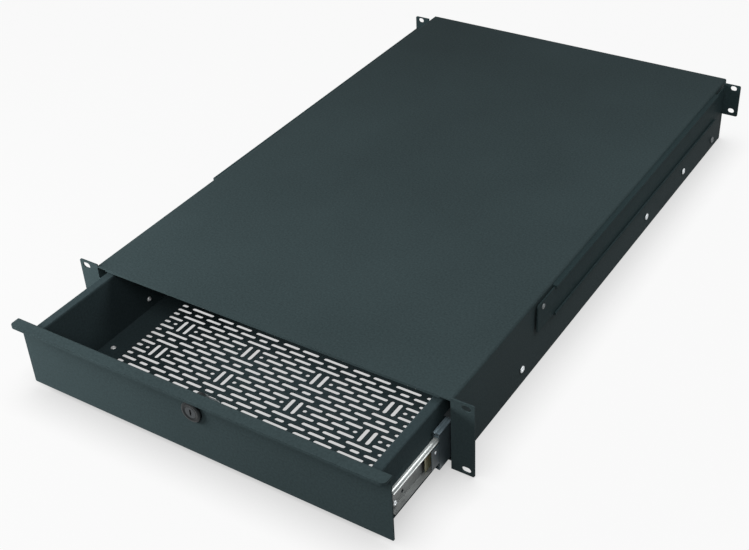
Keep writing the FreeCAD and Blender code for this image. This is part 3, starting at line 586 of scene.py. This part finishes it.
ball_steel = zinc_plate("ball_steel", (0.70, 0.71, 0.72), 0.12)
retainer_steel = zinc_plate("retainer_steel", (0.40, 0.42, 0.42), 0.36, along=(1, 0.05, 1))
for side in ("left", "right"):
    for row in ("inner", "outer"):
        low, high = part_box(f"{side}_{row}_ball_cage")
        ball_low, ball_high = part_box(f"{side}_{row}_balls")
        ball_x = (ball_low.x + ball_high.x) / 2
        first, last = ball_low.y + ball_radius, ball_high.y - ball_radius
        along = [first + (last - first) * n / (balls_in_row - 1) for n in range(balls_in_row)]
        levels = [low.z, high.z - retainer_thick]
        pockets = [
            round_slot(
                ball_x - pocket_radius,
                y - pocket_radius,
                ball_x + pocket_radius,
                y + pocket_radius,
                steps=8,
            )
            for y in along
        ]
        edge = [(low.x, low.y), (high.x, low.y), (high.x, high.y), (low.x, high.y)]
        one = punched_sheet("strip", edge, pockets, retainer_thick)
        strip = bmesh.new()
        ball = bmesh.new()
        bmesh.ops.create_icosphere(ball, subdivisions=3, radius=ball_radius)
        train = bmesh.new()
        for level in levels:
            copy_into(strip, one, (0, 0, level))
            for y in along:
                copy_into(train, ball, (ball_x, y, level + retainer_thick / 2))
        one.free()
        ball.free()
        body = f"{side}_{row}_cage"
        piece = solid(f"{side}_{row}_retainer", finish_mesh("retainer", strip), retainer_steel, body)
        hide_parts(f"{side}_{row}_ball_cage")
        piece = solid(
            f"{side}_{row}_ball_train", finish_mesh("ball_train", train, 60), ball_steel, body
        )
        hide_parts(f"{side}_{row}_balls")

# ---------------------------------------------------------------------------------------
# Drawer face: one coated sheet, folded forwards at the top into a hemmed pull lip with
# rounded corners, whose eased edges carry a painted highlight.
wear(enclosure_coat, "drawer_face")
ease_edges(0.35 * MM, "drawer_face", highlight_coat=edge_highlight_coat)

# ---------------------------------------------------------------------------------------
# Drawer box: a front, a back and two hollow sides, folded from steel sheet and joined at the
# corners, in the same powder; their edges are eased but carry no painted highlight.
tray_coat = powder_coat("tray_coat", (0.031, 0.046, 0.050), 0.5)
wear(tray_coat, "tray_front", "tray_back", "left_tray_side", "right_tray_side")
ease_edges(0.25 * MM, "tray_front", "tray_back", "left_tray_side", "right_tray_side")

# ---------------------------------------------------------------------------------------
# Vented floor: a coated sheet punched six rows of slots at a stroke.  The rows run across
# the drawer and are staggered, and pairs of slots stand across them.
slot_wide, shortest_slot = 4.0 * MM, 3.5 * MM
pair_wide, pair_long, pair_off = 4.5 * MM, 20 * MM, 4.8 * MM
row_pitch, strokes = 7.71 * MM, 13
columns, column_pitch, first_column = 6, 88.9 * MM, -226.8 * MM
half_field = 167.5 * MM
front_edge_strip = 15.485 * MM
slots_in_row = {
    "a": ((-15, 15), (21.5, 42.5), (46.5, 67.5)),
    "b": ((10.6, 30.6), (34.5, 54.5), (58.4, 78.4)),
    "c": ((12, 17), (21.5, 42.5), (46.5, 67.5), (72, 77)),
    "d": ((-5.5, 5.5), (10.6, 30.6), (34.5, 54.5), (58.4, 78.4)),
}
rows_in_stroke = "adabcb"


def stroke_of_slots():
    """The slots that one stroke of the punch makes, from y 0."""
    loops = []
    half_wide, half_long = pair_wide / 2, pair_long / 2
    for number, row in enumerate(rows_in_stroke):
        y = row_pitch * (number + 0.5)
        for column in range(columns):
            centre = first_column + column_pitch * column
            for start, end in slots_in_row[row]:
                x0 = max(centre + start * MM, -half_field)
                x1 = min(centre + end * MM, half_field)
                if x1 - x0 > shortest_slot:
                    loops.append(round_slot(x0, y - slot_wide / 2, x1, y + slot_wide / 2))
            for x in (centre - pair_off, centre + pair_off):
                if row == "c" and abs(x) + half_wide < half_field:
                    loops.append(
                        round_slot(x - half_wide, y - half_long, x + half_wide, y + half_long)
                    )
    return loops


floor_low, floor_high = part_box("vented_floor")
floor_thick = floor_high.z - floor_low.z
stroke_long = row_pitch * len(rows_in_stroke)
half_floor = floor_high.x


def strip_outline(depth):
    """Outline of a strip of the floor, as wide as the drawer, from y 0."""
    return [(-half_floor, 0), (half_floor, 0), (half_floor, depth), (-half_floor, depth)]


floor_build = bmesh.new()
blank_front = punched_sheet("front_strip", strip_outline(front_edge_strip), [], floor_thick)
copy_into(floor_build, blank_front, (0, floor_low.y, floor_low.z))
stroke = punched_sheet("stroke", strip_outline(stroke_long), stroke_of_slots(), floor_thick)
field_y = floor_low.y + front_edge_strip
for number in range(strokes):
    copy_into(floor_build, stroke, (0, field_y, floor_low.z))
    field_y += stroke_long
blank_rear = punched_sheet("rear_strip", strip_outline(floor_high.y - field_y), [], floor_thick)
copy_into(floor_build, blank_rear, (0, field_y, floor_low.z))
for spare in (blank_front, stroke, blank_rear):
    spare.free()
floor_sheet = solid("punched_floor", finish_mesh("punched_floor", floor_build), tray_coat, "drawer")
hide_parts("vented_floor")

# ---------------------------------------------------------------------------------------
# Screws: zinc plated pan heads with a cross recess, driven from outside through the
# enclosure, the arms and the slides.  Those that hold the rear panel and the arms have a
# darker plate.
def separate_solids(name):
    """The (lowest, highest) corners of each separate solid in a CAD node, in its order."""
    build = bmesh.new()
    build.from_mesh(nodes[name].data)
    bmesh.ops.remove_doubles(build, verts=build.verts, dist=1e-6)
    left = set(build.verts)
    boxes = []
    for start in build.verts:
        if start not in left:
            continue
        left.remove(start)
        places, reached = [], [start]
        while reached:
            vertex = reached.pop()
            places.append(vertex.co)
            for edge in vertex.link_edges:
                other = edge.other_vert(vertex)
                if other in left:
                    left.remove(other)
                    reached.append(other)
        lowest = Vector([min(place[axis] for place in places) for axis in range(3)])
        highest = Vector([max(place[axis] for place in places) for axis in range(3)])
        boxes.append((lowest, highest))
    build.free()
    return boxes


def pan_head(radius, height, shank, tip):
    """A pan head on its shank with a cross recess; the seat is at height 0."""
    stem = [(0, -tip), (shank, -tip), (shank, 0), (radius, 0)]
    rim_high = 0.35 * height
    build = turned(stem + dome(radius, height, rim_high, 12), 40)
    arm, half_wide, deep = 0.55 * radius, 0.13 * radius, 0.6 * height
    for vertex in build.verts:
        x, y, z = vertex.co
        reach = math.hypot(x, y)
        if z > 0.3 * height and reach < arm and min(abs(x), abs(y)) < half_wide:
            vertex.co.z -= deep * (1 - 0.5 * reach / arm)
    return build


def gather(whole, part):
    """Move one bmesh into another."""
    copy_into(whole, part, (0, 0, 0))
    part.free()


darker_zinc = zinc_plate("darker_zinc", (0.15, 0.165, 0.17), 0.4, metal=0.5)
screw_shank = 1.9 * MM
for name, body, head_high, finish in (
    ("slide_mounting_screws", "enclosure", 1.7 * MM, bright_zinc),
    ("rear_panel_screws", "enclosure", 1.7 * MM, darker_zinc),
    ("left_arm_screw", "left_arm", 1.3 * MM, darker_zinc),
    ("right_arm_screw", "right_arm", 1.3 * MM, darker_zinc),
    ("drawer_slide_screws", "drawer", 1.6 * MM, bright_zinc),
):
    screws = bmesh.new()
    for low, high in separate_solids(name):
        outward = 1 if low.x > 0 else -1
        top = high.x if outward > 0 else low.x
        length = high.x - low.x
        radius = (high.y - low.y) / 2
        seat = Vector((top - outward * head_high, (low.y + high.y) / 2, (low.z + high.z) / 2))
        head = pan_head(radius, head_high, min(screw_shank, 0.6 * radius), length - head_high)
        gather(screws, stand(head, seat, (outward, 0, 0)))
    piece = solid(f"{name}_pan_heads", finish_mesh(name, screws, 50), finish, body)
    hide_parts(name)

# ---------------------------------------------------------------------------------------
# Rivets: aluminium blind rivets with a low dome and the hollow left by the mandrel hold
# the floor to its ledges and the slides' backing to the inner walls.
def blind_rivet(radius, height, shank, tip):
    """A low domed head on its shank, with the broken mandrel sunk in the middle."""
    stem = [(0, -tip), (shank, -tip), (shank, 0), (radius, 0)]
    crown = dome(radius, height, 0.25 * height, 8)[:-3]
    hole = 0.3 * radius
    hollow = [(hole, 0.9 * height), (0.85 * hole, 0.35 * height), (0, 0.45 * height)]
    return turned(stem + crown + hollow, 28)


# Aluminium, given a nearly white and mostly diffuse colour, which also paints the highlight the
# rivets catch in the shaded tray.
rivet_aluminium_and_highlight = zinc_plate("rivet_aluminium_and_highlight", (0.93, 0.95, 0.96), 0.3, metal=0.3)
rivet_shank = 1.4 * MM
for name, upward, head_high, raised in (
    ("floor_rivets", True, 1.0 * MM, 1.0),
    ("wall_rivets", False, 1.1 * MM, 1.8),
):
    rivets = bmesh.new()
    for low, high in separate_solids(name):
        middle = (low + high) / 2
        radius = (high.y - low.y) / 2
        if upward:
            direction = (0, 0, 1)
            seat = Vector((middle.x, middle.y, high.z - head_high))
            length = high.z - low.z
        else:
            direction = (-1, 0, 0) if middle.x > 0 else (1, 0, 0)
            inner = low.x if middle.x > 0 else high.x
            seat = Vector((inner - direction[0] * head_high, middle.y, middle.z))
            length = high.x - low.x
        rivet = blind_rivet(radius, raised * head_high, rivet_shank, length - head_high)
        gather(rivets, stand(rivet, seat, direction))
    piece = solid(f"{name}_domes", finish_mesh(name, rivets, 50), rivet_aluminium_and_highlight, "drawer")
    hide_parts(name)

# ---------------------------------------------------------------------------------------
# Cam lock: a turned barrel with a black ring in front of the face, held behind it by a
# hexagon nut; the nickel plug with its key slot turns a zinc cam under a hexagon screw.
def black_nickel(name, colour, gloss):
    """Plated metal with a faint haze."""
    plate = bpy.data.materials.new(name)
    plate.use_nodes = True
    tree = plate.node_tree
    shader = tree.nodes["Principled BSDF"]
    shader.inputs["Metallic"].default_value = 0.85
    place = tree.nodes.new("ShaderNodeTexCoord")
    haze = tree.nodes.new("ShaderNodeTexNoise")
    haze.inputs["Scale"].default_value = 0.5 / MM
    haze.inputs["Detail"].default_value = 4.0
    tint = tree.nodes.new("ShaderNodeValToRGB")
    tint.color_ramp.elements[0].color = [0.75 * part for part in colour] + [1]
    tint.color_ramp.elements[1].color = [min(1.0, 1.25 * part) for part in colour] + [1]
    sheen = tree.nodes.new("ShaderNodeMapRange")
    sheen.inputs["To Min"].default_value = gloss - 0.06
    sheen.inputs["To Max"].default_value = gloss + 0.1
    link = tree.links.new
    link(place.outputs["Object"], haze.inputs["Vector"])
    link(haze.outputs["Fac"], tint.inputs["Fac"])
    link(haze.outputs["Fac"], sheen.inputs["Value"])
    link(tint.outputs["Color"], shader.inputs["Base Color"])
    link(sheen.outputs["Result"], shader.inputs["Roughness"])
    return plate


lock_black = black_nickel("lock_black", (0.014, 0.017, 0.018), 0.32)
lock_nickel = black_nickel("lock_nickel", (0.050, 0.056, 0.060), 0.26)
lock_flats = 48
lock_low, lock_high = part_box("lock_body")
plug_low, plug_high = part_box("lock_plug")
lock_middle = (lock_low + lock_high) / 2
plug_radius = (plug_high.x - plug_low.x) / 2
plug_long = plug_high.y - plug_low.y
bore = plug_radius + 0.08 * MM
barrel_radius = 9.5 * MM
ring_radius = (lock_high.x - lock_low.x) / 2
ring_high, ring_shoulder, ring_crown = 3.2 * MM, 0.5 * MM, 1.6 * MM
mouth_rim, mouth_step, mouth_deep = 1.5 * MM, 0.9 * MM, 0.4 * MM
face_front = lock_low.y + ring_high
barrel_long = lock_high.y - face_front
barrel = turned(
    [
        (bore, -barrel_long),
        (barrel_radius, -barrel_long),
        (barrel_radius, 0),
        (ring_radius, 0),
        (ring_radius, 0.45 * ring_high),
        (ring_radius - ring_shoulder, 0.8 * ring_high),
        (ring_radius - ring_crown, ring_high),
        (bore + mouth_rim, ring_high),
        (bore + mouth_step, ring_high - mouth_deep),
        (bore, ring_high - mouth_deep),
        (bore, -barrel_long),
    ],
    lock_flats,
)
stand(barrel, Vector((lock_middle.x, face_front, lock_middle.z)), (0, -1, 0))
piece = solid("lock_barrel", finish_mesh("lock_barrel", barrel), lock_black, "drawer")
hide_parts("lock_body")

key_half_wide, key_half_high, key_deep = 0.9 * MM, 3.6 * MM, 5 * MM
key_notch = 1.8 * key_half_wide
turns = [2 * math.pi * number / lock_flats for number in range(lock_flats)]
rim = [(plug_radius * math.cos(turn), plug_radius * math.sin(turn)) for turn in turns]
key_slot = [
    (-key_half_wide, -key_half_high),
    (key_half_wide, -key_half_high),
    (key_half_wide, -key_half_wide),
    (key_notch, 0),
    (key_half_wide, key_half_wide),
    (key_half_wide, key_half_high),
    (-key_half_wide, key_half_high),
]
plug = punched_sheet("plug_front", rim, [key_slot], key_deep)
bmesh.ops.translate(plug, verts=plug.verts, vec=(0, 0, -key_deep))
plug_rear = [(0, -plug_long), (plug_radius, -plug_long), (plug_radius, -key_deep), (0, -key_deep)]
gather(plug, turned(plug_rear, lock_flats))
stand(plug, Vector((lock_middle.x, plug_low.y, lock_middle.z)), (0, -1, 0))
piece = solid("lock_key_plug", finish_mesh("lock_key_plug", plug), lock_nickel, "lock")
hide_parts("lock_plug")
# The nut, cam and cam screw behind the face are painted dark, as the shade they sit in.
shadowed_lock_zinc = zinc_plate("shadowed_lock_zinc", (0.10, 0.115, 0.12), 0.42, metal=0.4)
wear(shadowed_lock_zinc, "lock_nut", "lock_cam", "cam_screw")
ease_edges(0.3 * MM, "lock_nut", "lock_cam", "cam_screw")
